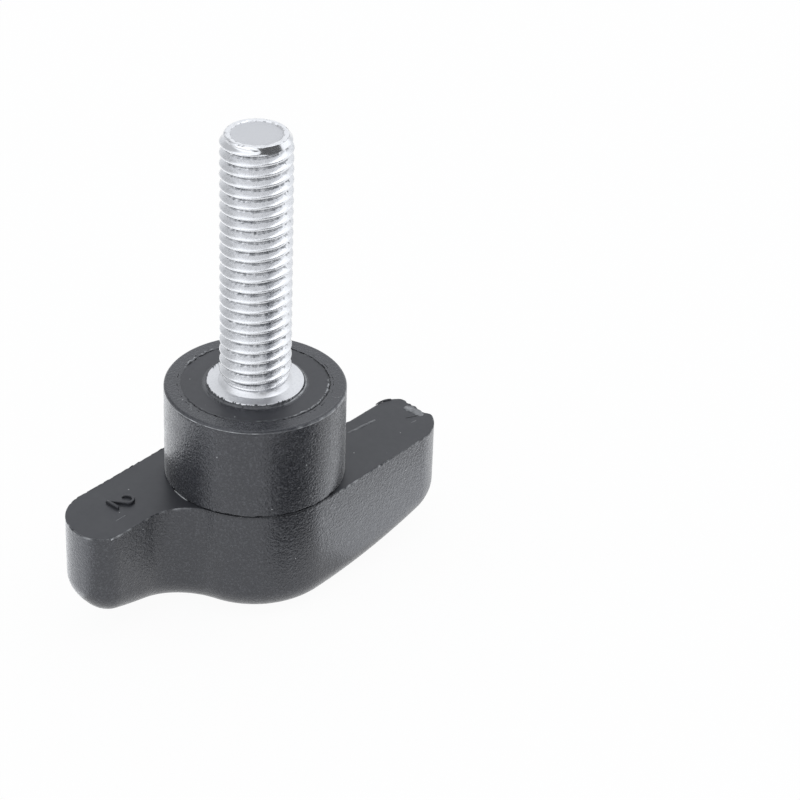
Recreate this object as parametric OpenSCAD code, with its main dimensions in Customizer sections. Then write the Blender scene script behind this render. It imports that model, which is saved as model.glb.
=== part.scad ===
// Wing knob with a steel threaded stud: a one-piece moulded handle with two offset wings,
// a round boss under the clamping face, and an M8 stud moulded in along the axis.
// +Z runs along the stud. The origin is the lowest point of the domed outer face, on the axis.
// The wings run along X. Millimetres.

/* [Boss] */
// Diameter of the round boss
boss_d = 20; // [16:0.5:24]
// Height of the boss above the back face of the wings
boss_h = 11; // [8:0.5:14]
// Rounding of the boss's upper edge
boss_edge_r = 0.3; // [0.1:0.1:0.6]
// Diameter of the fine line that the mould core leaves on the clamping face
core_line_d = 16.3; // [14:0.1:17.5]
// Width of that line
core_line_w = 0.2; // [0.1:0.05:0.4]

/* [Wings] */
// Length over both wing tips
wing_span = 45; // [38:0.5:54]
// Width of each wing
wing_w = 8.5; // [7:0.1:10.2]
// Thickness of the handle at its middle
handle_t = 13.4; // [11:0.2:16]
// Ledge where the handle stands out past the boss, at the mould's parting line
parting_ledge = 0.1; // [0.05:0.05:0.3]
// Radius of the finger hollow between the hub and a wing
hollow_r = 5.2; // [4:0.1:6.5]
// Radius of the tip corner on the wing's outer edge
tip_outer_r = 5.3; // [3.2:0.1:6.4]
// Radius of the tip corner on the wing's inner edge
tip_inner_r = 3; // [2.5:0.1:3.6]
// Rolled edge between the side walls and the outer face
edge_r = 2.75; // [1.5:0.05:3.3]
// Dome radius of the outer face
dome_r = 75; // [60:1:120]

/* [Stud] */
// Major diameter of the M8 thread, over the crests
thread_d = 7.85; // [6:0.05:10]
// Length of the stud above its collar
stud_len = 30; // [20:1:50]
// How far the neck between the thread and the collar lies below the crests
neck_depth = 0.575; // [0.4:0.025:0.8]
// Length of the plain neck, with its fillet
neck_len = 1.1; // [0.9:0.1:3]
// Fillet between the neck and the collar
neck_fillet_r = 0.75; // [0.3:0.05:0.85]
// How far the rim round the stud's end face lies below the crests
end_rim_depth = 0.525; // [0.3:0.025:0.9]
// Length of the chamfer at the stud's end
end_chamfer_len = 0.75; // [0.4:0.05:1.5]
// Width of the rim round the dished end face
end_rim_w = 0.45; // [0.2:0.05:0.8]
// Depth of the dish
end_dish = 0.15; // [0.05:0.05:0.3]

/* [Anchor] */
// Diameter of the steel collar in the clamping face
collar_d = 10.65; // [9.5:0.05:13]
// How far the collar stands proud of the plastic
collar_proud = 0.4; // [0.1:0.05:0.8]
// Depth of the collar below the clamping face
collar_t = 2.6; // [1.5:0.1:4]
// Width of the locking groove behind the collar
groove_w = 2; // [1:0.1:3]
// Diameter at the bottom of the locking groove
groove_d = 8.2; // [6.5:0.1:9]
// Length of the knurled head
head_len = 8; // [5:0.5:10]
// Diameter over the knurls
head_d = 10.4; // [9.3:0.1:12.5]
// Number of knurls round the head
knurls = 32; // [16:1:48]
// Depth of a knurl
knurl_depth = 0.4; // [0.2:0.05:0.6]
// Chamfer at both ends of the head
head_chamfer = 0.6; // [0.3:0.1:1]

/* [Hidden] */
$fn = 96;

plastic_black = "#3b3c3e";
zinc_bright = "#c9ccd0";

boss_r = boss_d / 2;
hub_r = boss_r + parting_ledge;
face_z = handle_t + boss_h;
// How far the boss reaches down into the handle
boss_sink = 1;

// The two tip corners share the wing's width, with a short straight between them
tip_straight = 0.1;
tip_fit = min(1, (wing_w - tip_straight) / (tip_outer_r + tip_inner_r));
outer_r = tip_outer_r * tip_fit;
inner_r = tip_inner_r * tip_fit;
// The rolled edge stays inside the tighter tip corner
roll_r = min(edge_r, 0.93 * inner_r);

// Wing outline: the outer edge touches the hub circle, the inner edge is wing_w away,
// and the finger hollow is tangent to the hub circle and to the inner edge
inner_y = wing_w - hub_r;
outer_x = wing_span / 2 - outer_r;
inner_x = wing_span / 2 - inner_r;
hollow_y = inner_y + hollow_r;
hollow_x = sqrt(pow(hub_r + hollow_r, 2) - pow(hollow_y, 2));
hollow_a = atan2(hollow_x, hollow_y);

// Steps along the hub arc, the hollow, the inner edge, a tip corner and the rolled edge
hub_steps = 15;
hollow_steps = 12;
edge_steps = 3;
tip_steps = 8;
roll_steps = 9;
// Strips across the domed face
dome_strips = 6;

// Outline points are [x, y, direction of the outward normal]
hub_arc = [for (i = [0:hub_steps - 1]) let (a = hollow_a * i / hub_steps)
    [hub_r * sin(a), hub_r * cos(a), 90 - a]];
hollow_arc = [for (i = [0:hollow_steps - 1]) let (a = hollow_a * (1 - i / hollow_steps))
    [hollow_x - hollow_r * sin(a), hollow_y - hollow_r * cos(a), 90 - a]];
inner_edge = [for (i = [0:edge_steps])
    [hollow_x + (inner_x - hollow_x) * i / edge_steps, inner_y, 90]];
inner_side = concat(hub_arc, hollow_arc, inner_edge);
outer_side = [for (p = inner_side) [p[0] * outer_x / inner_x, -hub_r, -90]];
outer_corner = [for (i = [1:tip_steps]) let (a = -90 + 90 * i / tip_steps)
    [outer_x + outer_r * cos(a), outer_r - hub_r + outer_r * sin(a), a]];
inner_corner = [for (i = [0:tip_steps - 1]) let (a = 90 * i / tip_steps)
    [inner_x + inner_r * cos(a), inner_y - inner_r + inner_r * sin(a), a]];

// Half the outline runs from (0, -hub_r) round one wing to (0, hub_r); the other half is
// the same turned by 180 degrees
half_outline = concat(outer_side, outer_corner, inner_corner, reversed(inner_side));
half_n = len(half_outline) - 1;
ring_n = 2 * half_n;
outline = concat(
    [for (i = [0:half_n - 1]) half_outline[i]],
    [for (i = [0:half_n - 1]) let (p = half_outline[i]) [-p[0], -p[1], p[2] + 180]]);

function reversed(list) = [for (i = [len(list) - 1:-1:0]) list[i]];

// Height of the domed outer face
function dome_z(x, y) = dome_r - sqrt(dome_r * dome_r - x * x - y * y);

// A ring of the rolled edge: a runs from 0 at the side wall to 90 at the domed face
function roll_ring(a) = [for (p = outline)
    let (inset = roll_r * (1 - cos(a)), x = p[0] - inset * cos(p[2]), y = p[1] - inset * sin(p[2]))
    [x, y, dome_z(x, y) + roll_r * (1 - sin(a))]];

// Rows across the handle join facing points of a ring. They are numbered from -dome_rows
// at one tip to dome_rows at the other; each tip row is one short edge.
dome_rows = len(inner_side) + tip_steps - 1;
last_ring = (roll_steps + 1) * ring_n;
dome_base = last_ring + ring_n;
function low_side(row) = row >= 0 ? row : ring_n + row;
function high_side(row) = half_n - row;
function dome_index(row, j) =
    j == 0 ? last_ring + low_side(row) :
    j == dome_strips ? last_ring + high_side(row) :
    dome_base + (row + dome_rows - 1) * (dome_strips - 1) + j - 1;

module handle() {
    wall_top = [for (p = outline) [p[0], p[1], handle_t]];
    rolls = [for (k = [0:roll_steps]) each roll_ring(90 * k / roll_steps)];
    inmost = roll_ring(90);
    dome = [for (row = [1 - dome_rows:dome_rows - 1], j = [1:dome_strips - 1])
        let (low = inmost[low_side(row)], high = inmost[high_side(row)], s = j / dome_strips,
             x = low[0] + (high[0] - low[0]) * s, y = low[1] + (high[1] - low[1]) * s)
        [x, y, dome_z(x, y)]];
    back_faces = [for (row = [-dome_rows:dome_rows - 1])
        let (a = low_side(row), b = low_side(row + 1), c = high_side(row + 1), d = high_side(row))
        each [[a, d, c], [a, c, b]]];
    wall_faces = [for (k = [0:roll_steps], i = [0:ring_n - 1])
        let (a = k * ring_n + i, b = k * ring_n + (i + 1) % ring_n)
        each [[a, b, b + ring_n], [a, b + ring_n, a + ring_n]]];
    dome_faces = [for (row = [1 - dome_rows:dome_rows - 2], j = [0:dome_strips - 1])
        let (a = dome_index(row, j), b = dome_index(row + 1, j),
             c = dome_index(row + 1, j + 1), d = dome_index(row, j + 1))
        each [[a, b, c], [a, c, d]]];
    polyhedron(
        points = concat(wall_top, rolls, dome),
        faces = concat(back_faces, wall_faces, dome_faces, tip_faces(1), tip_faces(-1)),
        convexity = 4);
}

// The last strip of the dome at a tip, which narrows to the short edge between the corners
function tip_faces(side) =
    let (row = side * (dome_rows - 1), tip = side * dome_rows, mid = floor(dome_strips / 2),
         low = last_ring + low_side(tip), high = last_ring + high_side(tip),
         fan = concat(
             [for (j = [0:mid - 1]) [dome_index(row, j), low, dome_index(row, j + 1)]],
             [[dome_index(row, mid), low, high]],
             [for (j = [mid:dome_strips - 1]) [dome_index(row, j), high, dome_index(row, j + 1)]]))
    side > 0 ? fan : [for (f = fan) [f[2], f[1], f[0]]];

// Round boss with its rounded upper edge, standing in the middle of the handle
module boss() {
    rotate_extrude() {
        translate([0, handle_t - boss_sink])
            square([boss_r, boss_h + boss_sink - boss_edge_r]);
        translate([0, face_z - boss_edge_r])
            square([boss_r - boss_edge_r, boss_edge_r]);
        translate([boss_r - boss_edge_r, face_z - boss_edge_r])
            intersection() {
                circle(boss_edge_r, $fn = 32);
                square(boss_edge_r);
            }
    }
}

// Fine V-shaped line round the clamping face
module core_line() {
    line_r = core_line_d / 2;
    half_w = core_line_w / 2;
    rotate_extrude()
        polygon([[line_r - half_w, face_z], [line_r, face_z - half_w],
                 [line_r + half_w, face_z], [line_r, face_z + half_w]]);
}

// Part of the stud below the collar's face: collar, locking groove and knurled head
module anchor() {
    collar_z = face_z - collar_t;
    head_top = collar_z - groove_w;
    translate([0, 0, collar_z])
        cylinder(d = collar_d, h = collar_t + collar_proud);
    translate([0, 0, head_top - head_chamfer])
        cylinder(d = groove_d, h = groove_w + head_chamfer * 2);
    translate([0, 0, head_top - head_len])
        knurled_head();
}

// Straight knurls: a ring of V-shaped teeth whose crests are turned flat, with a chamfer
// at each end
module knurled_head() {
    head_r = head_d / 2;
    chamfer_r = head_r - head_chamfer;
    root_r = head_r - knurl_depth;
    tip_r = head_r + knurl_depth / 2;
    intersection() {
        linear_extrude(head_len)
            polygon([for (i = [0:2 * knurls - 1])
                let (a = 180 * i / knurls, r = i % 2 == 0 ? tip_r : root_r)
                [r * cos(a), r * sin(a)]]);
        union() {
            cylinder(r1 = chamfer_r, r2 = head_r, h = head_chamfer);
            translate([0, 0, head_chamfer])
                cylinder(r = head_r, h = head_len - 2 * head_chamfer);
            translate([0, 0, head_len - head_chamfer])
                cylinder(r1 = head_r, r2 = chamfer_r, h = head_chamfer);
        }
    }
}

// Part of the stud above the collar: filleted neck, thread at its major diameter, and a
// chamfered end with a dished face
module shank() {
    thread_r = thread_d / 2;
    neck_r = thread_r - neck_depth;
    rim_r = thread_r - end_rim_depth;
    dish_r = rim_r - end_rim_w;
    translate([0, 0, face_z + collar_proud])
        difference() {
            rotate_extrude() {
                polygon([[0, -collar_t], [neck_r, -collar_t], [neck_r, neck_len],
                         [thread_r, neck_len + neck_depth], [thread_r, stud_len - end_chamfer_len],
                         [rim_r, stud_len], [0, stud_len]]);
                difference() {
                    translate([0, -collar_t])
                        square([neck_r + neck_fillet_r, neck_fillet_r + collar_t]);
                    translate([neck_r + neck_fillet_r, neck_fillet_r])
                        circle(neck_fillet_r, $fn = 48);
                }
            }
            translate([0, 0, stud_len - end_dish])
                cylinder(r1 = dish_r - end_dish, r2 = dish_r + end_dish, h = 2 * end_dish);
        }
}

module knob_body() {
    color(plastic_black)
        difference() {
            union() {
                handle();
                boss();
            }
            core_line();
            anchor();
        }
}

module threaded_stud() {
    color(zinc_bright)
        union() {
            anchor();
            shank();
        }
}

knob_body();
threaded_stud();
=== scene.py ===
import math

import bmesh
import bpy
import numpy as np
from mathutils import Matrix, Vector


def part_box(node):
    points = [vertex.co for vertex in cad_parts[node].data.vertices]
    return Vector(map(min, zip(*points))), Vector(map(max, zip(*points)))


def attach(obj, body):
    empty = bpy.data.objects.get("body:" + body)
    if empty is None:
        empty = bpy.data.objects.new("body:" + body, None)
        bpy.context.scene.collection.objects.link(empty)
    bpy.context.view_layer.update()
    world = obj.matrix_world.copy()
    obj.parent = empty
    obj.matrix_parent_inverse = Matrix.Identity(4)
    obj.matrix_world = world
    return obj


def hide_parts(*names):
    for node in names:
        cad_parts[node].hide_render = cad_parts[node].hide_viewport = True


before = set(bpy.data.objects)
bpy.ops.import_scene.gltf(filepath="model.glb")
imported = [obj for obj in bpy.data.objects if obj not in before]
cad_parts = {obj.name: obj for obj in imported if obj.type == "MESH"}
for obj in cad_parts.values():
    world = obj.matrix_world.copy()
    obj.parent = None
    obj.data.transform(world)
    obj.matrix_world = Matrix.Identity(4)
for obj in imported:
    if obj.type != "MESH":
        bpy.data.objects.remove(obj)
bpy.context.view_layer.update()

# --- Threaded stud ----------------------------------------------------------------------------
# A cold-headed steel stud with a collar and a knurled head. Its M8 thread is rolled on, then it is
# zinc plated and blue passivated. It is laid in the mould first and the nylon closes round it.
# All sizes are in millimetres; meshes are scaled to metres as they are made.
MM = 0.001
stud_low, stud_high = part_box("threaded_stud")
body_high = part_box("knob_body")[1]
stud_foot = stud_low.z / MM
stud_top = stud_high.z / MM
face_z = body_high.z / MM
collar_r = stud_high.x / MM

# The thread: the half widths of the crest's and the root's flats, how much of the flank is straight
# and how much is rounded, and the height and heading at which the helix's crest starts
pitch = 1.25
crest_r = 3.925
root_depth = 0.7
crest_half = 0.05
root_half = 0.06
flank_straight, flank_round = 0.85, 0.15
crest_start = 0.30
crest_heading = 215.3
# The collar, proud of the clamping face, and the plain neck above it
collar_proud = 0.4
collar_depth = 2.6
collar_edge = 0.07
collar_top = face_z + collar_proud
collar_foot = face_z - collar_depth
neck_r = 3.35
neck_fillet = 0.75
fillet_power = 1.4
runout_slope = 0.45
runout_start = 0.12
# The anchor inside the nylon: a locking groove, and a head with V-shaped knurling
lock_groove_w = 2.0
lock_groove_r = 4.1
head_r = 5.2
head_chamfer = 0.6
head_top = collar_foot - lock_groove_w
knurls = 32
knurl_depth = 0.4
# The end: a chamfer, a rounded rim and a shallow dish, where the stud was cropped from its bar
rim_r = 3.4
chamfer_len = 0.75
rim_rise = 0.11
rim_w = 0.6
dish_r = 2.74
dish_depth = 0.2
dent_depth = 0.07
stud_columns = 128
rows_per_pitch = 16


def ramp(value, start, end):
    """Smooth step: 0 before start, 1 after end, 3t^2 - 2t^3 between."""
    t = np.clip((value - start) / (end - start), 0, 1)
    return t * t * (3 - 2 * t)


def wander(points, size, seed, count=28):
    """Smooth noise of about unit height: sine waves in random directions, whose wavelengths lie
    between 0.7 and 1.6 times size, added up and divided by the root of their count."""
    rng = np.random.default_rng(seed)
    directions = rng.normal(size=(count, points.shape[-1]))
    directions /= np.linalg.norm(directions, axis=1, keepdims=True)
    waves = 2 * math.pi / (size * rng.uniform(0.7, 1.6, count))
    phases = rng.uniform(0, 2 * math.pi, count)
    return np.sin(points @ (directions * waves[:, None]).T + phases).sum(-1) / math.sqrt(count)


def pointing(heading, down):
    """Unit vector at a heading from +X towards +Y and an angle below the horizon."""
    return Vector((math.cos(down) * math.cos(heading), math.cos(down) * math.sin(heading), -math.sin(down)))


def ring_faces(rings, columns, first=0):
    """Quads between successive closed rings of a grid, where point i of ring k has the number
    first + k columns + i."""
    k, i = np.meshgrid(np.arange(rings - 1), np.arange(columns), indexing="ij")
    j = (i + 1) % columns
    quads = np.stack([k * columns + i, k * columns + j, (k + 1) * columns + j, (k + 1) * columns + i], -1)
    return quads.reshape(-1, 4) + first


def turned(radii, heights, columns):
    """Rings of a turned shape: at each angle t, x = r cos t, y = r sin t."""
    angle = 2 * math.pi * np.arange(columns) / columns
    radii = np.broadcast_to(np.asarray(radii, float).reshape(len(heights), -1), (len(heights), columns))
    heights = np.broadcast_to(np.asarray(heights, float).reshape(len(heights), -1), radii.shape)
    return np.stack([radii * np.cos(angle), radii * np.sin(angle), heights], -1)


def add_piece(name, points, faces, marks=None, second=None, sharp=40.0):
    """A mesh piece from points in millimetres and arrays of faces, with doubles merged and normals
    outward. Marks are named numbers for each point that a material reads, and second says which
    faces take the piece's second finish."""
    mesh = bpy.data.meshes.new(name)
    mesh.from_pydata((np.asarray(points) * MM).tolist(), [], [f for part in faces for f in part.tolist()])
    for key, values in (marks or {}).items():
        layer = mesh.attributes.new(key, "FLOAT", "POINT")
        layer.data.foreach_set("value", np.clip(values, 0, 1).astype(np.float32).ravel())
    if second is not None:
        mesh.polygons.foreach_set("material_index", second.astype(np.int32))
    edit = bmesh.new()
    edit.from_mesh(mesh)
    bmesh.ops.remove_doubles(edit, verts=edit.verts, dist=0.0008 * MM)
    bmesh.ops.dissolve_degenerate(edit, edges=edit.edges, dist=0.0005 * MM)
    bmesh.ops.recalc_face_normals(edit, faces=edit.faces)
    edit.to_mesh(mesh)
    edit.free()
    mesh.shade_smooth()
    mesh.set_sharp_from_angle(angle=math.radians(sharp))
    piece = bpy.data.objects.new(name, mesh)
    bpy.context.scene.collection.objects.link(piece)
    return piece


def anchor_rings(columns):
    """Head, locking groove and collar, turned. The head's radius is the lesser of its chamfered
    outline and a ring of V teeth, root + 1.5 depth |2 s - 1| with s from 0 to 1 over each tooth, so
    the outline cuts the teeth's tips flat."""
    step = (np.arange(columns) * knurls / columns) % 1
    tooth = head_r - knurl_depth + 1.5 * knurl_depth * np.abs(2 * step - 1)
    outline = [head_r - head_chamfer, head_r, head_r, head_r - head_chamfer]
    head = [np.minimum(tooth, r) for r in outline]
    plain = [lock_groove_r, lock_groove_r, collar_r, collar_r,
             collar_r - 0.3 * collar_edge, collar_r - collar_edge]
    radii = [np.zeros(columns)] + head + [np.full(columns, r) for r in plain]
    heights = [stud_foot, stud_foot, stud_foot + head_chamfer, head_top - head_chamfer, head_top,
               head_top, collar_foot, collar_foot,
               collar_top - collar_edge, collar_top - 0.3 * collar_edge, collar_top]
    return turned(np.array(radii), heights, columns)


def fillet_radius(rise):
    """Radius of the neck's fillet of height f at a rise above the collar: neck_r + f (1 - rise/f)^p."""
    return neck_r + neck_fillet * (1 - rise / neck_fillet) ** fillet_power


def thread_radius(angle, z):
    """Radius of the rolled thread: the crest's radius less a depth that grows, nearly in a straight
    line, from the crest's flat to the root's, and fades to a fifth towards the end. The run-out cone
    and the fillet bound it near the collar, the chamfer cone at the end."""
    crest = crest_start + pitch * (angle - math.radians(crest_heading)) / (2 * math.pi)
    away = np.abs((z - crest + pitch / 2) % pitch - pitch / 2)
    straight = np.clip((away - crest_half) / (pitch / 2 - root_half - crest_half), 0, 1)
    depth = root_depth * (flank_straight * straight + flank_round * ramp(straight, 0, 1))
    radius = crest_r - depth * (1 - 0.8 * ramp(z, stud_top - 0.5, stud_top - 0.1))
    runout = neck_r + np.maximum(z - collar_top - runout_start, 0) * runout_slope
    radius = np.minimum(radius, runout)
    fillet = fillet_radius(np.clip(z - collar_top, 0, neck_fillet))
    radius = np.maximum(radius, np.where(z < collar_top + neck_fillet, fillet, 0))
    cone = rim_r + (stud_top - rim_rise - z) * (crest_r - rim_r) / (chamfer_len - rim_rise)
    return np.minimum(radius, cone)


def thread_grid(low, high, columns):
    """Rows that follow the helix: z = low - pitch + dz k + pitch t / 2pi, clipped to low..high. The
    last column meets the first a full pitch of rows higher up."""
    dz = pitch / rows_per_pitch
    count = int(math.ceil((high - low) / dz)) + 2 * rows_per_pitch
    k, i = np.meshgrid(np.arange(count + 1), np.arange(columns), indexing="ij")
    angle = 2 * math.pi * i / columns
    z = np.clip(low - pitch + dz * k + pitch * i / columns, low, high)
    radius = thread_radius(angle, z)
    points = np.stack([radius * np.cos(angle), radius * np.sin(angle), z], -1)
    k, i = k[:-1], i[:-1]
    lift = np.where(i == columns - 1, rows_per_pitch, 0)
    j = (i + 1) % columns
    quads = np.stack([k * columns + i, (k + lift) * columns + j, (k + lift + 1) * columns + j,
                      (k + 1) * columns + i], -1)
    return points.reshape(-1, 3), quads[(k + lift + 1 <= count)].reshape(-1, 4)


# The foot of the fillet has rings of its own, and the helix's rows start above them
foot_height = 0.15
foot_rise = np.linspace(0, foot_height, 3)
foot_rings = turned(fillet_radius(foot_rise), collar_top + foot_rise, stud_columns)
lower = np.concatenate([anchor_rings(stud_columns), foot_rings])
thread_high = stud_top - rim_rise
thread_points, thread_quads = thread_grid(collar_top + foot_height, thread_high, stud_columns)
# The end: a rounded rim, low outside and dipping into the dished face. Cropping dented the rim and
# left its inner edge a little wavy. The outermost ring meets the last of the thread.
ridge_turn = np.linspace(math.radians(25), math.radians(155), 10)
end_radii = np.concatenate([[rim_r], rim_r - rim_w / 2 + rim_w / 2 * np.cos(ridge_turn),
                            [dish_r, dish_r - 0.15, dish_r - 0.6, 1.3, 0]])
end_heights = np.concatenate([[thread_high], thread_high + (stud_top - thread_high) * np.sin(ridge_turn),
                              stud_top - dish_depth * np.array([0.8, 0.95, 1.0, 1.0, 1.0])])
end_rings = turned(end_radii, end_heights, stud_columns)
rim_dents = wander(end_rings[1:11], 0.5, 41)
end_rings[1:11, :, 2] -= dent_depth * np.clip(rim_dents, 0, 1.5)
end_rings[7:13, :, :2] *= 1 - 0.012 * rim_dents[4][None, :, None]
angle = 2 * math.pi * np.arange(stud_columns) / stud_columns
edge_radius = thread_radius(angle, np.full(stud_columns, thread_high))
end_rings[0, :, 0] = edge_radius * np.cos(angle)
end_rings[0, :, 1] = edge_radius * np.sin(angle)
stud_points = np.concatenate([lower.reshape(-1, 3), thread_points, end_rings.reshape(-1, 3)])
after_lower = lower.shape[0] * stud_columns
stud_radius = np.hypot(stud_points[:, 0], stud_points[:, 1])
stud_z = stud_points[:, 2]
# Grey dust and painted shade darken the roots unevenly, and on one side darker spots lie on the
# flanks as well
threaded = (stud_z > collar_top + 0.85) & (stud_z < stud_top - 0.4)
spotted_side = pointing(math.radians(-56), 0)
out_there = stud_points[:, 0] * spotted_side.x + stud_points[:, 1] * spotted_side.y
facing = out_there / np.maximum(stud_radius, 0.1)
flank_spots = np.clip(0.3 + 0.7 * wander(stud_points, 0.5, 43), 0, 1)
dust_and_shade_mark = (crest_r - stud_radius) / root_depth + 0.1 * wander(stud_points, 0.4, 42)
dust_and_shade_mark += 0.4 * ramp(facing, 0.8, 0.96) * flank_spots
# The same grey paints shade at the foot of the rim, inside it all round and outside it here and there
at_end = stud_z > stud_top - 0.3
inside_rim = (np.abs(stud_radius - dish_r) < 0.07) & at_end
outside_rim = (np.abs(stud_z - thread_high) < 0.03) & (stud_radius > rim_r - 0.1)
rim_foot_shade = inside_rim | outside_rim & (wander(stud_points, 0.6, 44) > -0.5)
# The cropped end is matt, the pressed collar and fillet are a little so, and the chamfer is turned
cropped = (stud_radius < dish_r + 0.05) & at_end
pressed = 0.3 * ((stud_z < collar_top + 0.6) & (stud_z > collar_top - 0.2))
# The root mark: dust and painted shade in the thread's roots, and painted shade at the foot of the rim
stud_marks = {
    "root": np.where(threaded, dust_and_shade_mark, rim_foot_shade),
    "end_face": cropped + pressed,
    "turned": (stud_z > stud_top - chamfer_len) & (stud_radius > dish_r + 0.05),
}
stud_faces = [ring_faces(len(lower), stud_columns),
              thread_quads + after_lower,
              ring_faces(len(end_rings), stud_columns, after_lower + len(thread_points))]
stud = add_piece("threaded_stud_m8", stud_points, stud_faces, marks=stud_marks, sharp=60)


def paint(code):
    """Linear RGBA of an sRGB hex colour: each channel c becomes ((c + 0.055) / 1.055)^2.4, or
    c / 12.92 where it is very dark."""
    channels = [int(code[i:i + 2], 16) / 255 for i in (1, 3, 5)]
    return [c / 12.92 if c <= 0.04045 else ((c + 0.055) / 1.055) ** 2.4 for c in channels] + [1.0]


def node(tree, kind, settings=None, **links):
    """Adds a shader node. Settings are its properties. Links name its inputs, with _ for a space,
    and give each an output socket to join or a value to set; i2 is the input at place 2."""
    made = tree.nodes.new(kind)
    for key, value in (settings or {}).items():
        setattr(made, key, value)
    for key, value in links.items():
        by_place = key[0] == "i" and key[1:].isdigit()
        socket = made.inputs[int(key[1:]) if by_place else key.replace("_", " ")]
        if isinstance(value, bpy.types.NodeSocket):
            tree.links.new(value, socket)
        else:
            socket.default_value = value
    return made


def finish(name):
    """A new material: its tree and its Principled shader."""
    material = bpy.data.materials.new(name)
    material.use_nodes = True
    return material, material.node_tree, material.node_tree.nodes["Principled BSDF"]


# Settings of nodes: a mix of two colours or of two numbers, a product, and a soft-ended range
of_colours = {"data_type": "RGBA"}
of_numbers = {"data_type": "FLOAT"}
product = {"operation": "MULTIPLY"}
soft_ends = {"interpolation_type": "SMOOTHSTEP"}

# Zinc plate, blue passivated: a bright, slightly satin metal. The rolled flanks carry plating grain,
# about 0.2 mm so that it shows, dust and painted shade darken the roots and the rim's foot, the chamfer
# is turned and bright, and the cropped end face is matt.
zinc, tree, shader = finish("zinc_plate_blue_passivated")
clean_dark, clean_light = paint("#e2e3e6"), paint("#eeeff1")
grain_grey, dust_and_shade_grey, matt_grey = paint("#a3a7ad"), paint("#4c5056"), paint("#cecfd2")
spot = node(tree, "ShaderNodeTexCoord").outputs["Object"]
plating = node(tree, "ShaderNodeTexNoise", Vector=spot, Scale=1 / (0.2 * MM), Detail=3.0,
               Roughness=0.65).outputs["Fac"]
cloud = node(tree, "ShaderNodeTexNoise", Vector=spot, Scale=1 / (1.1 * MM), Detail=4.0,
             Roughness=0.6).outputs["Fac"]
root = node(tree, "ShaderNodeAttribute", {"attribute_name": "root"}).outputs["Fac"]
end_face = node(tree, "ShaderNodeAttribute", {"attribute_name": "end_face"}).outputs["Fac"]
turned_part = node(tree, "ShaderNodeAttribute", {"attribute_name": "turned"}).outputs["Fac"]
clean = node(tree, "ShaderNodeMix", of_colours, i0=cloud, i6=clean_dark, i7=clean_light).outputs[2]
strongest = node(tree, "ShaderNodeMapRange", Value=turned_part, To_Min=0.28, To_Max=0.06).outputs[0]
grain = node(tree, "ShaderNodeMapRange", Value=plating, From_Min=0.36, From_Max=0.5, To_Min=strongest,
             To_Max=0.0).outputs[0]
grained = node(tree, "ShaderNodeMix", of_colours, i0=grain, i6=clean, i7=grain_grey).outputs[2]
darkest = node(tree, "ShaderNodeMapRange", Value=cloud, From_Min=0.35, From_Max=0.65, To_Min=0.35,
                To_Max=0.85).outputs[0]
# Dust and painted shade: a darker grey in the thread's roots and at the foot of the rim
dust_and_shade = node(tree, "ShaderNodeMapRange", soft_ends, Value=root, From_Min=0.78, From_Max=1.0, To_Min=0.0,
            To_Max=darkest).outputs[0]
dusted_and_shaded = node(tree, "ShaderNodeMix", of_colours, i0=dust_and_shade, i6=grained, i7=dust_and_shade_grey).outputs[2]
matt = node(tree, "ShaderNodeMath", product, i0=end_face, i1=0.85).outputs[0]
plate = node(tree, "ShaderNodeMix", of_colours, i0=matt, i6=dusted_and_shaded, i7=matt_grey).outputs[2]
tree.links.new(plate, shader.inputs["Base Color"])
shader.inputs["Metallic"].default_value = 1.0
satin = node(tree, "ShaderNodeMapRange", Value=plating, From_Min=0.3, From_Max=0.7, To_Min=0.2,
             To_Max=0.32).outputs[0]
rough = node(tree, "ShaderNodeMix", of_numbers, i0=turned_part, i2=satin, i3=0.17).outputs[0]
rough = node(tree, "ShaderNodeMix", of_numbers, i0=end_face, i2=rough, i3=0.5).outputs[0]
tree.links.new(rough, shader.inputs["Roughness"])
strike = node(tree, "ShaderNodeMapRange", Value=turned_part, To_Min=0.18, To_Max=0.08).outputs[0]
bump = node(tree, "ShaderNodeBump", Strength=strike, Distance=0.03 * MM, Height=plating)
tree.links.new(bump.outputs["Normal"], shader.inputs["Normal"])
stud.data.materials.append(zinc)
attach(stud, "root")
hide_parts("threaded_stud")

# --- Nylon knob body --------------------------------------------------------------------------
# One glass-filled black nylon moulding: a domed handle with two offset wings and a round boss.
# The handle lies in one half of the mould and the boss in the other, so a fine parting line and
# flash run round the boss's foot. Sides and dome are spark-eroded; the back faces are smooth.

# The handle's outline, with the finger hollow and the wing tip's outer and inner corners
half_span = body_high.x / MM
hub_r = body_high.y / MM
wing_w = 8.5
hollow_r = 5.2
tip_outer_r = 5.3
tip_inner_r = 3.0
# Its thickness, the dome, the roll round the dome, and the nearly sharp rim of the back face
handle_t = 13.4
dome_r = 75.0
roll_r = 2.75
rim_edge = 0.05
# The boss, the line that the mould's core left on it, and how far its plastic clears the collar
boss_r = 10.0
boss_edge = 0.3
core_line_r = 8.15
creep_gap = 0.004

# Points along each part of a quarter of the outline, and strips across the dome
hub_points, hollow_points, edge_points, corner_points = 62, 36, 22, 40
side_points = hub_points + hollow_points + edge_points
quarter = side_points + corner_points
columns = 4 * quarter
dome_strips = 34
inner_y = wing_w - hub_r
outer_x = half_span - tip_outer_r
inner_x = half_span - tip_inner_r
hollow_y = inner_y + hollow_r
hollow_x = math.sqrt((hub_r + hollow_r) ** 2 - hollow_y ** 2)
hollow_turn = math.atan2(hollow_x, hollow_y)


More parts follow.
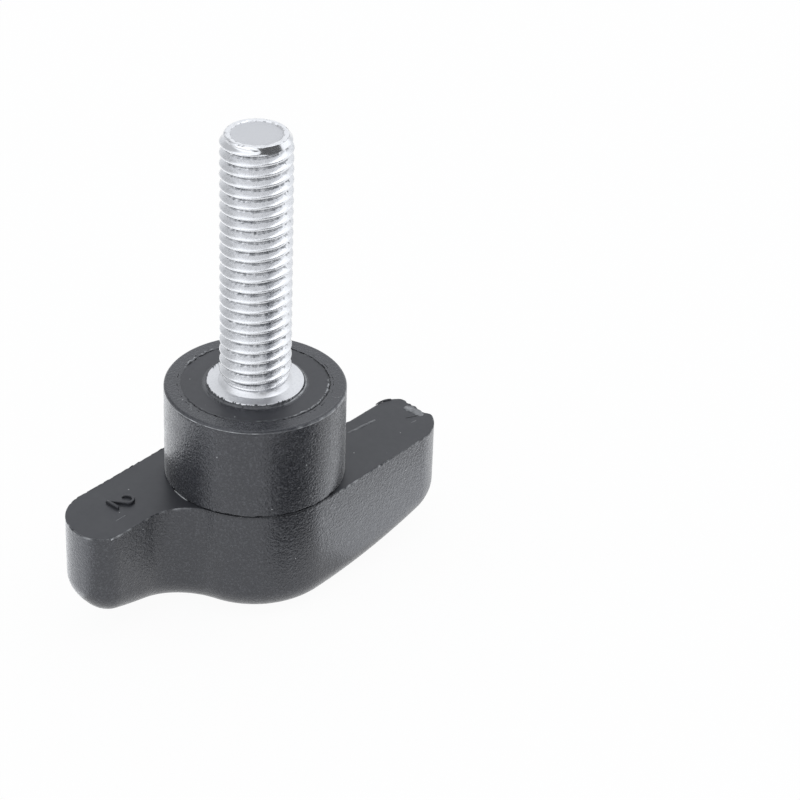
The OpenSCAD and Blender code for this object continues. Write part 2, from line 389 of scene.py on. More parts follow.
def wing_outline():
    """The outline of the handle, x, y and the angle of its outward normal. The inner side is the hub
    arc, the finger hollow tangent to it and the straight edge; the outer side is a straight line at
    y = -hub_r. Two corner arcs join them, and the other half is the same turned by 180 degrees."""
    t = np.linspace(0, hollow_turn, hub_points, endpoint=False)
    hub = np.stack([hub_r * np.sin(t), hub_r * np.cos(t), math.pi / 2 - t])
    t = np.linspace(hollow_turn, 0, hollow_points, endpoint=False)
    hollow = np.stack([hollow_x - hollow_r * np.sin(t), hollow_y - hollow_r * np.cos(t), math.pi / 2 - t])
    t = np.linspace(hollow_x, inner_x, edge_points + 1)
    edge = np.stack([t, np.full_like(t, inner_y), np.full_like(t, math.pi / 2)])
    inner = np.concatenate([hub, hollow, edge], 1)
    outer = np.stack([inner[0] * outer_x / inner_x, np.full_like(inner[0], -hub_r),
                      np.full_like(inner[0], -math.pi / 2)])
    t = np.linspace(-math.pi / 2, 0, corner_points + 1)[1:]
    outer_corner = np.stack([outer_x + tip_outer_r * np.cos(t),
                             tip_outer_r - hub_r + tip_outer_r * np.sin(t), t])
    t = np.linspace(0, math.pi / 2, corner_points, endpoint=False)
    inner_corner = np.stack([inner_x + tip_inner_r * np.cos(t),
                             inner_y - tip_inner_r + tip_inner_r * np.sin(t), t])
    half = np.concatenate([outer, outer_corner[:, :-1], inner_corner, inner[:, ::-1]], 1)[:, :2 * quarter]
    return np.concatenate([half, [[-1], [-1], [1]] * half + [[0], [0], [math.pi]]], 1)


def dome_z(x, y):
    """Height of the spherical outer face: R less the square root of R^2 - x^2 - y^2."""
    return dome_r - np.sqrt(dome_r ** 2 - x ** 2 - y ** 2)


out_x, out_y, out_turn = wing_outline()
out_nx, out_ny = np.cos(out_turn), np.sin(out_turn)
# The heading on the boss that each point of the outline is joined to, spread so that no face twists
joins = [0, side_points, quarter, quarter + corner_points, quarter + corner_points + edge_points,
         2 * quarter - hub_points, 2 * quarter]
headings = np.radians([-90, -46, -28, -20, -10, 90 - math.degrees(hollow_turn), 90])
boss_turn = np.interp(np.arange(2 * quarter + 1), joins, headings)[:-1]
boss_turn = np.concatenate([boss_turn, boss_turn + math.pi])
boss_cos, boss_sin = np.cos(boss_turn), np.sin(boss_turn)


def ring(x, y, z):
    """One closed ring of the body, from x, y and z, each an array or a single number."""
    return np.stack([np.broadcast_to(v, (columns,)) for v in (x, y, z)], -1)


def boss_ring(radius, z):
    """One ring round the boss's axis: x = r cos t, y = r sin t, at the boss's headings t."""
    return ring(radius * boss_cos, radius * boss_sin, z)


def around(size, seed):
    """Noise round the boss's axis, with bumps about size millimetres long."""
    return wander(np.stack([boss_r * boss_cos, boss_r * boss_sin], -1), size, seed)


def along(size, seed):
    """Noise along the handle's outline, with bumps about size millimetres long."""
    return wander(np.stack([out_x, out_y], -1), size, seed)


def within(start, end, soft=4.0):
    """1 between two headings in degrees round the axis, with a smooth step down to 0 at each."""
    middle, half = (start + end) / 2, (end - start) / 2
    off = np.abs((np.degrees(boss_turn) - middle + 180) % 360 - 180)
    return 1 - ramp(off, half - soft, half + soft)


rings = []
finishes = []
shades = {"grain": [], "wear_and_highlight": [], "painted_shade": []}


def lay(points, grain=1.0, wear_and_highlight=0.0, painted_shade=0.0, smooth=False):
    """Adds a ring to the body, with the strength of its erosion, how pale wear and painted highlight
    make it, how dark painted shade makes it, and whether the faces from it to the next ring are smooth."""
    rings.append(points)
    finishes.append(smooth)
    for key, value in (("grain", grain), ("wear_and_highlight", wear_and_highlight), ("painted_shade", painted_shade)):
        shades[key].append(np.broadcast_to(np.asarray(value, float), (columns,)))


# The rolled edge between the dome and the sides
for a in np.linspace(math.pi / 2, 0, 13):
    inset = roll_r * (1 - math.cos(a))
    x, y = out_x - inset * out_nx, out_y - inset * out_ny
    lay(ring(x, y, dome_z(x, y) + roll_r * (1 - math.sin(a))))
# Side walls, and a rim with small nicks and short bits of flash, torn along one outer edge. The
# gate was cut off at one wing's tip, and the cutter took a slanting bite of the rim with it. The rim
# carries a painted highlight, broken by noise, with pale thin flash along it, and painted shade where
# the boss comes close to it.
bite_depth = 0.8
bite = bite_depth * ramp(out_x, 20.0, 21.0) * ramp(-out_y, 2.6, 4.2) * (1 - ramp(-out_y, 6.5, 7.8))
bite = bite * (1 + 0.15 * along(0.8, 33))
torn = (out_y > hub_r - 0.06) * ramp(out_x, -11.2, -10.2) * (1 - ramp(out_x, -4.6, -3.8))
nick = np.clip(along(0.8, 21) - 0.7, 0, 1) * 0.12 + torn * np.clip(along(0.7, 23) - 0.1, 0, 1) * 0.13
flash = np.clip(along(0.9, 22) - 0.8, 0, 1) * 0.08 + torn * np.clip(along(1.1, 24), 0, 1) * 0.1
by_boss = ramp(hub_r + 0.5 - np.hypot(out_x, out_y), 0, 0.4)
rim_highlight_and_flash = np.clip(0.1 + 0.35 * along(1.7, 25) + 6 * flash, 0, 1) * (1 - by_boss)
wall_low = dome_z(out_x, out_y) + roll_r
wall_high = handle_t - rim_edge
wall_rows = [0.08, 0.16, 0.24, 0.32, 0.4, 0.48, 0.56, 0.64, 0.72, 0.8, 0.88, 0.94, 0.975, 0.99]
for s in wall_rows:
    inset = bite * ramp(s, 0.85, 1.0)
    at_rim = s > 0.98
    lay(ring(out_x - inset * out_nx, out_y - inset * out_ny, wall_low + (wall_high - wall_low) * s),
        wear_and_highlight=0.6 * rim_highlight_and_flash * at_rim, painted_shade=0.5 * by_boss * at_rim)
for a in np.linspace(0, math.pi / 2, 4):
    inset = rim_edge * (1 - math.cos(a)) + nick + bite
    z = wall_high + rim_edge * math.sin(a) + flash * math.sin(a) - 0.6 * nick
    lay(ring(out_x - inset * out_nx, out_y - inset * out_ny, z),
        wear_and_highlight=rim_highlight_and_flash, painted_shade=0.6 * by_boss, smooth=a > 1.5)
# Back face of the wings, from the rim to the boss's foot, sunk a little here and there in cooling
rim_x, rim_y = out_x - (rim_edge + bite) * out_nx, out_y - (rim_edge + bite) * out_ny
foot_x, foot_y = (boss_r + 0.02) * boss_cos, (boss_r + 0.02) * boss_sin
back_rows = [0.008, 0.02, 0.04, 0.07, 0.11, 0.15, 0.2, 0.26, 0.32, 0.38, 0.44, 0.5, 0.56, 0.62, 0.68, 0.74,
             0.8, 0.85, 0.9, 0.94, 0.97, 0.985, 0.995, 1.0]
for s in back_rows:
    x, y = rim_x + (foot_x - rim_x) * s, rim_y + (foot_y - rim_y) * s
    sink = 0.012 * wander(np.stack([x, y], -1), 5.0, 3) * min(1, 8 * s, 8 * (1 - s) + 0.2)
    lay(ring(x, y, handle_t + sink - 0.5 * nick * max(0, 1 - s / 0.02)), grain=0.0, smooth=True)
# The parting gap at the boss's foot: the boss starts a little above the back face, and the gap is
# painted nearly black as shade
gap_depth = 0.12
gap_h = 0.12 * np.clip(0.75 + 0.45 * around(2.2, 5) + 0.3 * around(0.7, 6), 0.2, 1.7)
lay(boss_ring(boss_r - gap_depth, handle_t - 0.03), painted_shade=1)
lay(boss_ring(boss_r - gap_depth, handle_t + 0.85 * gap_h), painted_shade=1)
lay(boss_ring(boss_r - 0.03, handle_t + gap_h), painted_shade=0.7)
wall_start = handle_t + 1.3 * gap_h
wall_end = face_z - boss_edge
boss_rows = [0, 0.015, 0.05, 0.1, 0.15, 0.2, 0.26, 0.32, 0.38, 0.44, 0.5, 0.56, 0.62, 0.68, 0.74, 0.8, 0.86,
             0.92, 0.96]
for s in boss_rows:
    lay(boss_ring(boss_r, wall_start + (wall_end - wall_start) * s))
# Upper edge of the boss: the mould's halves met a little off here, which left a fine groove, painted
# dark as shade, below a pale bead of flash. The edge is a little pale all round, and a painted
# highlight lies on it and its rounding on one side.
met = within(168, 226, 6) * np.clip(0.8 + 0.5 * around(1.4, 15), 0, 1.3)
right_highlight = within(-112, -42, 8) * np.clip(0.7 + 0.6 * around(1.2, 16), 0, 1)
pale_bead_and_highlight = 0.3 + met + right_highlight
lay(boss_ring(boss_r, wall_end - 0.17))
lay(boss_ring(boss_r - 0.05 * met, wall_end - 0.12), painted_shade=0.6 * met)
lay(boss_ring(boss_r - 0.05 * met, wall_end - 0.06), painted_shade=0.6 * met)
lay(boss_ring(boss_r + 0.02 * met, wall_end - 0.02), wear_and_highlight=0.7 * pale_bead_and_highlight)
lay(boss_ring(boss_r, wall_end + 0.02), wear_and_highlight=0.7 * pale_bead_and_highlight)
for a in np.linspace(0, math.pi / 2, 6)[1:]:
    lay(boss_ring(boss_r - boss_edge * (1 - math.cos(a)), wall_end + boss_edge * math.sin(a)),
        grain=0.7, wear_and_highlight=0.45 * right_highlight * (a < 0.9))
# The clamping face's outer ring, eroded lightly and more so on two sides
face_grain = 0.25 + 0.55 * within(75, 215, 20) + 0.4 * within(-50, 35, 15)
for r in [9.62, 9.4, 9.1, 8.8, 8.5]:
    lay(boss_ring(r, face_z), grain=face_grain)
# The line that the mould core left: a fine groove that nearly closes on one side, painted nearly
# black as shade, with flakes of flash torn up outside it at one place and a ragged ridge of flash
# inside it at another
line_r = core_line_r + 0.035 * around(1.6, 8) + 0.03 * around(0.5, 9)
line_depth = 0.1 + 0.03 * around(1.2, 10)
line_wide = np.clip(1 + 0.7 * around(0.8, 30), 0.4, 2.2)
line_open = (1 - 0.85 * within(106, 158, 8)) * np.clip(0.9 + 0.3 * around(0.8, 27), 0.3, 1)
flake = np.clip(0.5 + 0.9 * around(0.9, 11) + 0.5 * around(0.3, 18), 0, 1.6) * within(76, 110) * 0.11
ridge_side = within(-106, -42, 8) + 0.3 * within(172, 262)
ridge = np.clip(0.8 + 0.6 * around(0.8, 26) + 0.5 * around(0.3, 28), 0, 1.7) * ridge_side * 0.09
# Each ring across the line: its distance from the line, and its shares of the groove's depth, of the
# flakes' height and of the ridge's
for off, drop, outer, inner in [
        (0.36, 0, 0, 0), (0.27, 0, 0.4, 0), (0.2, 0, 0.9, 0), (0.12, 0, 1, 0), (0.07, 0, 0.2, 0),
        (0.03, 1, 0, 0), (-0.06, 1, 0, 0),
        (-0.14, 0, 0, 0.7), (-0.18, 0, 0, 1), (-0.24, 0.1, 0, 0.9), (-0.29, 0.12, 0, 0.3),
        (-0.35, 0.12, 0, 0)]:
    in_groove = drop == 1
    lift = outer * flake + inner * ridge - line_depth * line_open * drop
    pale_flash = np.clip(12 * flake, 0, 1) * outer + np.clip(16 * ridge - 0.4, 0, 1) * inner
    lay(boss_ring(line_r + off * (line_wide if in_groove else 1), face_z + lift), grain=0.5 * (off > 0),
        wear_and_highlight=pale_flash, painted_shade=0.95 * line_open * in_groove, smooth=off <= 0.05)
# The smooth disc that the core moulded
disc_z = face_z - 0.01
for r in [7.6, 7.2, 6.8, 6.4, 6.1, 5.9]:
    lay(boss_ring(r, disc_z), grain=0.0, smooth=True)
# Plastic that crept up the collar in the mould, with ragged teeth, and on one side stands off it as
# a lip of thin flash. It is a little pale, and on the lip's side the line where it ends is darkened
# with painted shade.
creep = np.clip(0.5 + 0.25 * around(1.3, 12) + 0.12 * around(0.5, 13), 0.05, 1)
lip = within(-98, 4, 12) * np.clip(0.8 + 0.25 * around(1.8, 14) + 0.1 * around(0.6, 17), 0.3, 1.0)
teeth = np.clip(around(0.45, 29) - 0.4, 0, 1) * (1 - lip)
edge_r = collar_r + creep_gap
climb = disc_z + (0.22 + 0.16 * creep) * (1 - lip) + 0.06 * lip + 0.2 * np.clip(4 * teeth, 0, 1)
pale = 0.14 * (1 - lip)
shaded_line = 0.75 * within(-96, -6, 10)
lay(boss_ring(edge_r + 0.5, disc_z), grain=0.0)
lay(boss_ring(edge_r + 0.32, disc_z + 0.04 * lip), wear_and_highlight=0.5 * pale, grain=0.2)
lay(boss_ring(edge_r + 0.22, disc_z + 0.24 * lip), wear_and_highlight=lip + pale, grain=0.2)
lay(boss_ring(edge_r + 0.16, disc_z + 0.28 * lip), wear_and_highlight=lip + pale, grain=0.2)
lay(boss_ring(edge_r + 0.1, disc_z + 0.1 * creep + 0.1 * lip), wear_and_highlight=0.6 * lip + pale, grain=0.2)
lay(boss_ring(edge_r + 0.06, climb), painted_shade=shaded_line, wear_and_highlight=pale, grain=0.2)
lay(boss_ring(edge_r + 0.02 - 0.08 * teeth, climb + 0.02), painted_shade=shaded_line, wear_and_highlight=pale, grain=0.2)
lay(boss_ring(edge_r - 0.1 * teeth, climb), painted_shade=shaded_line, wear_and_highlight=pale, grain=0.2)
# The cavity that the stud's anchor fills
for r, z in [(edge_r, collar_foot), (lock_groove_r, collar_foot), (lock_groove_r, head_top),
             (head_r, head_top), (head_r, stud_foot), (0.0, stud_foot)]:
    lay(boss_ring(r, z))
shell = np.stack(rings)

# The dome's rows join facing points of the first ring, and each row's height is the sphere's
row = np.arange(1 - quarter, quarter)
low_side, high_side = row % columns, (2 * quarter - row) % columns
s = np.linspace(0, 1, dome_strips + 1)[1:-1, None]
low_xy, high_xy = shell[0][low_side, :2], shell[0][high_side, :2]
dome_xy = low_xy[:, None] + (high_xy - low_xy)[:, None] * s[None]
dome_points = np.concatenate([dome_xy, dome_z(dome_xy[..., :1], dome_xy[..., 1:])], -1).reshape(-1, 3)
inside = shell.shape[0] * columns + np.arange(len(dome_points)).reshape(dome_xy.shape[:2])
ids = np.concatenate([low_side[:, None], inside, high_side[:, None]], 1)
dome_quads = np.stack([ids[:-1, :-1], ids[1:, :-1], ids[1:, 1:], ids[:-1, 1:]], -1).reshape(-1, 4)
tips = np.concatenate([
    np.stack([ids[-1, :-1], np.full(dome_strips, quarter), ids[-1, 1:]], -1),
    np.stack([ids[0, 1:], np.full(dome_strips, 3 * quarter), ids[0, :-1]], -1)])
# Faces after a smooth ring take the smooth finish, and the dome is all eroded
smooth_faces = np.concatenate([np.repeat(finishes[:-1], columns), np.zeros(len(dome_quads) + len(tips))])
dome_shade = {"grain": 1.0, "wear_and_highlight": 0.0, "painted_shade": 0.0}
body_marks = {key: np.concatenate([np.ravel(values), np.full(len(dome_points), dome_shade[key])])
              for key, values in shades.items()}
body_points = np.concatenate([shell.reshape(-1, 3), dome_points])
body_faces = [ring_faces(len(shell), columns), dome_quads, tips]
body = add_piece("knob_body_nylon", body_points, body_faces, marks=body_marks, second=smooth_faces, sharp=50)


def black_nylon(name, dark, light, specular, roughness, sheen):
    """Black glass-filled polyamide with one of the mould's finishes: two shades of black, the
    strength of its shine, its roughness, and how strongly its edges glow. The three marks of the
    mesh say where it is eroded, where wear or painted highlight makes it pale and where painted shade
    makes it nearly black."""
    material, tree, shader = finish(name)
    speck_grey, lint_grey, pale_grey = paint("#6c6e72"), paint("#b4b5b6"), paint("#b4b6b8")
    shade_black = paint("#08080a")
    spot = node(tree, "ShaderNodeTexCoord").outputs["Object"]
    grain_amount = node(tree, "ShaderNodeAttribute", {"attribute_name": "grain"}).outputs["Fac"]
    wear_and_highlight_amount = node(tree, "ShaderNodeAttribute", {"attribute_name": "wear_and_highlight"}).outputs["Fac"]
    painted_shade_amount = node(tree, "ShaderNodeAttribute", {"attribute_name": "painted_shade"}).outputs["Fac"]
    # Eroded pits about 0.25 mm wide, a haze in clouds of 3.5 mm, and flow marks of 0.9 mm
    pits = node(tree, "ShaderNodeTexNoise", Vector=spot, Scale=1 / (0.25 * MM), Detail=1.5,
                Roughness=0.6, Distortion=0.4).outputs["Fac"]
    haze = node(tree, "ShaderNodeTexNoise", Vector=spot, Scale=1 / (3.5 * MM), Detail=4.0,
                Roughness=0.55).outputs["Fac"]
    flow = node(tree, "ShaderNodeTexNoise", Vector=spot, Scale=1 / (0.9 * MM), Detail=3.0,
                Roughness=0.6).outputs["Fac"]
    base = node(tree, "ShaderNodeMix", of_colours, i0=haze, i6=dark, i7=light).outputs[2]
    # Fibres that show between the pits make pale specks, and a little lint lies here and there
    speck = node(tree, "ShaderNodeMapRange", Value=pits, From_Min=0.5, From_Max=0.72, To_Min=0.0,
                 To_Max=0.3).outputs[0]
    speck = node(tree, "ShaderNodeMath", product, i0=speck, i1=grain_amount).outputs[0]
    base = node(tree, "ShaderNodeMix", of_colours, i0=speck, i6=base, i7=speck_grey).outputs[2]
    lint = node(tree, "ShaderNodeTexVoronoi", {"feature": "F1"}, Vector=spot,
                Scale=1 / (1.9 * MM)).outputs["Distance"]
    lint = node(tree, "ShaderNodeMapRange", Value=lint, From_Min=0.03, From_Max=0.045, To_Min=0.8,
                To_Max=0.0).outputs[0]
    base = node(tree, "ShaderNodeMix", of_colours, i0=lint, i6=base, i7=lint_grey).outputs[2]
    # Worn or torn plastic and painted highlights are pale in patches, and painted shade makes a gap
    # nearly black
    patches = node(tree, "ShaderNodeMapRange", Value=flow, From_Min=0.4, From_Max=0.6, To_Min=0.6,
                   To_Max=1.0).outputs[0]
    paleness = node(tree, "ShaderNodeMath", product, i0=wear_and_highlight_amount, i1=patches).outputs[0]
    base = node(tree, "ShaderNodeMix", of_colours, i0=paleness, i6=base, i7=pale_grey).outputs[2]
    base = node(tree, "ShaderNodeMix", of_colours, i0=painted_shade_amount, i6=base, i7=shade_black).outputs[2]
    tree.links.new(base, shader.inputs["Base Color"])
    shader.inputs["IOR"].default_value = 1.53
    shader.inputs["Specular IOR Level"].default_value = specular
    shader.inputs["Specular Tint"].default_value = paint("#f7f9ff")
    shader.inputs["Sheen Weight"].default_value = sheen
    shader.inputs["Sheen Roughness"].default_value = 0.25
    rough = node(tree, "ShaderNodeMapRange", Value=flow, From_Min=0.3, From_Max=0.7,
                 To_Min=roughness - 0.04, To_Max=roughness + 0.04).outputs[0]
    tree.links.new(rough, shader.inputs["Roughness"])
    height = node(tree, "ShaderNodeMath", product, i0=pits, i1=grain_amount).outputs[0]
    bump = node(tree, "ShaderNodeBump", Strength=1.0, Distance=0.07 * MM, Height=height)
    ripple = node(tree, "ShaderNodeBump", Strength=0.3, Distance=0.02 * MM, Height=flow,
                  Normal=bump.outputs["Normal"])
    tree.links.new(ripple.outputs["Normal"], shader.inputs["Normal"])
    return material


# Glass-filled polyamide 6, black. Spark-eroded sides break its sheen into fine sparkling grain that
# grows bright towards the silhouette; the smooth faces mirror their surroundings softly.
eroded = black_nylon("polyamide_black_spark_eroded", paint("#25262a"), paint("#2d2e32"),
                     specular=0.72, roughness=0.26, sheen=0.6)
smooth_nylon = black_nylon("polyamide_black_smooth", paint("#2c2d30"), paint("#323337"),
                           specular=0.52, roughness=0.36, sheen=0.0)
body.data.materials.append(eroded)
body.data.materials.append(smooth_nylon)
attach(body, "root")
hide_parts("knob_body")

# --- Marks of the mould -----------------------------------------------------------------------
# A raised cavity number on one wing, the torn gate on the other wing's tip, threads of flash and a
# few scratches. All are the same nylon: the number stands up crisp, with painted shade on it, and torn
# or thin plastic is pale.
bead_section = 9


def bead(path, half_width, height, low, square=0.8):
    """A raised bead along a path in the plane: at each step its section is (w cos^q a, h sin^q a),
    a from 0 to pi, over a flat foot at height low, and w and h fall to nothing at both ends."""
    step = np.gradient(path, axis=0)
    across = np.stack([-step[:, 1], step[:, 0]], -1) / np.linalg.norm(step, axis=1, keepdims=True)
    t = np.linspace(0, 1, len(path))[:, None]
    taper = (4 * t * (1 - t)) ** 0.25
    a = np.linspace(0, math.pi, bead_section)[None]
    side = np.sign(np.cos(a)) * np.abs(np.cos(a)) ** square * np.reshape(half_width, (-1, 1)) * taper
    rise = np.abs(np.sin(a)) ** square * np.reshape(height, (-1, 1)) * taper
    return np.concatenate([path[:, None] + side[..., None] * across[:, None], (low + rise)[..., None]], -1)


def line(start, end, count=24):
    """Points along a straight line, start + (end - start) (1 - cos a) / 2 with a from 0 to pi, so
    that they are closer together at its ends."""
    t = (1 - np.cos(np.linspace(0, math.pi, count)))[:, None] / 2
    return np.asarray(start) + (np.asarray(end) - start) * t


def arc(centre, radius, start, end, count=24):
    """Points along an arc, centre + r (cos a, sin a), its angles in degrees; the radius may change
    evenly from start to end."""
    t = np.radians(np.linspace(start, end, count))
    r = np.linspace(*radius, count) if isinstance(radius, tuple) else radius
    return np.asarray(centre) + np.stack([r * np.cos(t), r * np.sin(t)], -1)


def add_beads(name, beads):
    """One piece from beads, each given with how pale wear has made it and how dark painted shade makes it.
    """
    shapes, paleness, dark = zip(*beads)
    counts = [len(shape) * bead_section for shape in shapes]
    starts = np.cumsum([0] + counts)
    points = np.concatenate([shape.reshape(-1, 3) for shape in shapes])
    faces = [ring_faces(len(shape), bead_section, start) for shape, start in zip(shapes, starts)]
    wear_and_highlight, painted_shade = np.repeat(paleness, counts), np.repeat(dark, counts)
    piece = add_piece(name, points, faces, marks={"grain": 0 * wear_and_highlight, "wear_and_highlight": wear_and_highlight, "painted_shade": painted_shade})
    piece.data.materials.append(smooth_nylon)
    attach(piece, "root")
    return piece


# Most beads have their foot sunk this far in the face under them, so that no gap shows
wing_foot, face_foot = handle_t - 0.02, face_z - 0.01

# The number 2 in two strokes, drawn upright and then turned with its top towards +X
digit_at = np.array([-15.0, 6.0])
digit_half_width, digit_height, digit_square = 0.19, 0.38, 0.45
bowl = arc((0.32, 0.5), 0.78, 176, -20, 22)
stroke = np.concatenate([bowl, line(bowl[-1] - (0.06, 0.06), (-1.1, -1.12), 16)])
foot = line((-1.08, -1.12), (0.85, -1.2))
digit = [bead(digit_at + path[:, ::-1] * (1, -1), digit_half_width, digit_height, wing_foot, digit_square)
         for path in (stroke, foot)]
# The number's strokes are darkened a little with painted shade
add_beads("cavity_number", [(shape, 0.0, 0.25) for shape in digit])

# In order: the gate's torn stub in two layers, with a thin bead painted dark as a pit's shade and a
# pale scar beside it; a spur of flash, painted darker, at the same wing's inner corner and a thin
# ridge of flash along it; a sliver at the boss's foot; a scratch on the other wing; a scratch and an
# angled crack on the clamping face; and a tag of torn flash on the other wing's rim
gate_path = np.stack([21.0 - 0.2 * np.linspace(-1, 1, 40) ** 2, np.linspace(-4.2, -6.9, 40)], -1)
ragged = np.clip(0.85 + 0.3 * wander(gate_path, 0.6, 31), 0.4, 1.3)
spur_path = arc((inner_x, inner_y - tip_inner_r), (tip_inner_r - 0.1, tip_inner_r + 0.12), 58, 101, 40)
ridge_path = line((12.2, -3.1), (16.8, -3.62), 60)
ridge_height = np.clip(0.06 + 0.05 * wander(ridge_path, 0.8, 32), 0.0, 0.1)
sliver_path = arc((0, 0), (boss_r + 0.03, boss_r + 0.05), 161, 175.5, 30)
add_beads("flash_and_gate", [
    (bead(gate_path, 0.66 * ragged, 0.1 * ragged[::-1], wing_foot), 0.38, 0.0),
    (bead(gate_path - (0.1, 0.1), 0.48 * ragged[::-1], 0.15 * ragged, wing_foot), 0.55, 0.0),
    (bead(line((19.1, -5.85), (20.4, -6.55)), 0.09, 0.06, wing_foot), 0.0, 0.5),
    (bead(line((18.7, -7.0), (19.5, -7.1)), 0.07, 0.05, wing_foot), 0.3, 0.0),
    (bead(spur_path, np.linspace(0.15, 0.09, 40), np.linspace(0.18, 0.1, 40), handle_t), 0.1, 0.4),
    (bead(ridge_path, 0.16, ridge_height, handle_t - 0.015), 0.3, 0.0),
    (bead(sliver_path, 0.05, 0.09, handle_t + 0.02), 1.0, 0.0),
    (bead(line((-18.0, 3.78), (-16.5, 3.8)), 0.06, 0.04, handle_t - 0.015), 0.35, 0.0),
    (bead(line((-7.85, 2.2), (-8.95, 1.15)), 0.04, 0.04, face_foot), 0.5, 0.0),
    (bead(line((3.4, -8.0), (3.62, -8.66), 12), 0.04, 0.04, face_foot), 0.35, 0.0),
    (bead(line((3.62, -8.66), (4.3, -8.84), 12), 0.04, 0.04, face_foot), 0.35, 0.0),
    (bead(line((-20.9, 1.62), (-20.55, 1.63), 10), 0.06, 0.08, wing_foot), 1.0, 0.0)])

# --- Camera, floor and light ------------------------------------------------------------------
# The knob stands on its dome on a white table. The camera looks down at the clamping face through a
# long lens. The ray runs from it to the middle of that face; the view is the way it points, a few
# degrees to the side of the ray, because the knob stands left of the middle of the view.
target = Vector((0, 0, body_high.z))
ray_heading, ray_down, ray_length = math.radians(42.214), math.radians(31.783), 315.287 * MM
view_heading, view_down, view_roll = math.radians(38.828), math.radians(32.073), math.radians(2.145)
lens = bpy.data.cameras.new("camera")
lens.lens = 130.0
lens.sensor_width = 36.0
camera = bpy.data.objects.new("camera", lens)
bpy.context.scene.collection.objects.link(camera)
forward = pointing(view_heading, view_down)
level_right = forward.cross(Vector((0, 0, 1))).normalized()
level_up = level_right.cross(forward)
right = level_right * math.cos(view_roll) + level_up * math.sin(view_roll)
up = right.cross(forward)
turn = Matrix((right, up, -forward)).transposed().to_4x4()
camera.matrix_world = Matrix.Translation(target - pointing(ray_heading, ray_down) * ray_length) @ turn
bpy.context.scene.camera = camera

# A white table. The lens and reflections see nearly plain white; the rest is its matt surface, which
# takes the knob's shadow and passes the light on.
floor_reach = 1.5
floor_white_share = 0.95
corners = [(-floor_reach, -floor_reach, 0), (floor_reach, -floor_reach, 0),
           (floor_reach, floor_reach, 0), (-floor_reach, floor_reach, 0)]
floor_mesh = bpy.data.meshes.new("floor")
floor_mesh.from_pydata(corners, [], [(0, 1, 2, 3)])
floor = bpy.data.objects.new("floor", floor_mesh)
floor.location = (0, 0, -0.02 * MM)
bpy.context.scene.collection.objects.link(floor)
table = bpy.data.materials.new("white_table")
table.use_nodes = True
tree = table.node_tree
tree.nodes.clear()
either = {"operation": "MAXIMUM"}
path = node(tree, "ShaderNodeLightPath").outputs
seen = node(tree, "ShaderNodeMath", either, i0=path["Is Camera Ray"], i1=path["Is Glossy Ray"])
seen = node(tree, "ShaderNodeMath", either, i0=seen.outputs[0], i1=path["Is Transmission Ray"])
share = node(tree, "ShaderNodeMath", product, i0=seen.outputs[0], i1=floor_white_share)
glow = node(tree, "ShaderNodeEmission", Color=(1, 1, 1, 1), Strength=1.0)
matt = node(tree, "ShaderNodeBsdfDiffuse", Color=paint("#f4f4f4"))
mixed = node(tree, "ShaderNodeMixShader", i0=share.outputs[0], i1=matt.outputs[0], i2=glow.outputs[0])
node(tree, "ShaderNodeOutputMaterial", Surface=mixed.outputs[0])
floor_mesh.materials.append(table)

# Two cards to the right of the lens, for the knob to mirror: a black one stands on the table and gives
# the boss its darker stripe, a grey one hangs beside the stud and darkens a stripe of its lower turns.
# Each has the two ends of its width, its lowest height and its highest, in metres, and its paint.
for left_end, right_end, low, high, card_paint in [
        ((-0.012, -0.020), (0.010, -0.0255), 0.0, 0.016, "#1a1a1c"),
        ((-0.0049, -0.0150), (0.0025, -0.0158), 0.020, 0.039, "#b2b3b7")]:
    card, tree, shader = finish("card")
    shader.inputs["Base Color"].default_value = paint(card_paint)
    corners = [(*left_end, low), (*right_end, low), (*right_end, high), (*left_end, high)]
    flag_mesh = bpy.data.meshes.new("card")
    flag_mesh.from_pydata(corners, [], [(0, 1, 2, 3)])
    flag_mesh.materials.append(card)
    flag = bpy.data.objects.new("card", flag_mesh)
    bpy.context.scene.collection.objects.link(flag)
    flag.visible_camera = False
    flag.visible_diffuse = False
    flag.visible_shadow = False

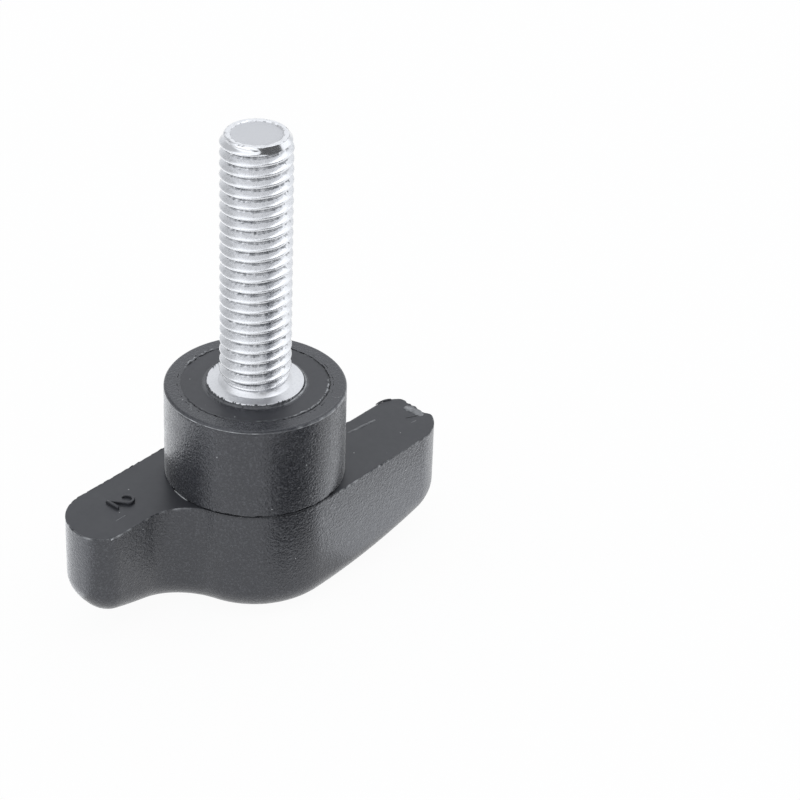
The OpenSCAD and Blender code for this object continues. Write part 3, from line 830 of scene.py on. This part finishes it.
# Two low panels of light lie beside the knob, for its sides to mirror: each has its centre, its
# heading, its length and width, all in metres and degrees, and its brightness. They face up.
panel_height = 0.001
for x, y, heading, length, width, brightness in [
        (-0.016, 0.047, 19, 0.10, 0.07, 0.7),
        (0.028, -0.0155, 4, 0.042, 0.0106, 0.9)]:
    panel = bpy.data.lights.new("low_panel", "AREA")
    panel.shape = "RECTANGLE"
    panel.size, panel.size_y = length, width
    panel.energy = brightness * math.pi * length * width
    panel.color = paint("#f6faff")[:3]
    lamp = bpy.data.objects.new("low_panel", panel)
    upward = Matrix.Rotation(math.radians(heading), 4, "Z") @ Matrix.Rotation(math.pi, 4, "X")
    lamp.matrix_world = Matrix.Translation((x, y, panel_height)) @ upward
    bpy.context.scene.collection.objects.link(lamp)
    lamp.visible_camera = False

# The studio: a pale room with soft lights and dark gaps between them, and nearly white where the lens
# sees it. Each patch is a heading to the right of the camera, a height, a half width and a soft edge,
# all in degrees, and its brightness; a later patch lies over an earlier one.
room_level = 0.85
patches = [
    # Wide front light, front left light and the ceiling's
    (-20, 15, 45, 15, 1.25), (-45, 42, 34, 8, 1.4), (0, 90, 28, 14, 1.2),
    # Two bright lights on the right, a dim spot above and left of them, and a low light below
    (92, 57, 13, 3, 2.0), (114, 38, 13, 4, 1.9), (45, 64, 8, 4, 0.65), (100, 16, 32, 8, 1.25),
    # The dim left side and the wall behind
    (-125, 38, 22, 10, 0.6), (175, 30, 26, 12, 1.06),
    # Dark gaps: one round the lens, and a row of three from the front to the right
    (-2, 24, 15, 5, 0.25), (29, 48, 13, 2, 0.1), (53, 45, 13, 2, 0.1), (79, 36, 14, 2, 0.1)]
world = bpy.data.worlds.new("studio")
bpy.context.scene.world = world
world.use_nodes = True
tree = world.node_tree
tree.nodes.clear()
direction = node(tree, "ShaderNodeTexCoord").outputs["Generated"]
value = room_level
for heading_right, height, half_width, soft, brightness in patches:
    patch = pointing(view_heading + math.pi + math.radians(heading_right), -math.radians(height))
    cosine = node(tree, "ShaderNodeVectorMath", {"operation": "DOT_PRODUCT"}, i0=direction,
                  i1=patch).outputs["Value"]
    mask = node(tree, "ShaderNodeMapRange", soft_ends, Value=cosine,
                From_Min=math.cos(math.radians(half_width + soft)),
                From_Max=math.cos(math.radians(half_width - soft))).outputs[0]
    value = node(tree, "ShaderNodeMix", of_numbers, i0=mask, i2=value, i3=brightness).outputs[0]
by_lens = node(tree, "ShaderNodeLightPath").outputs["Is Camera Ray"]
strength = node(tree, "ShaderNodeMix", of_numbers, i0=by_lens, i2=value, i3=1.0).outputs[0]
sky = node(tree, "ShaderNodeBackground", Color=paint("#fafcff"), Strength=strength)
node(tree, "ShaderNodeOutputWorld", Surface=sky.outputs[0])

bpy.context.scene.view_settings.view_transform = "Standard"
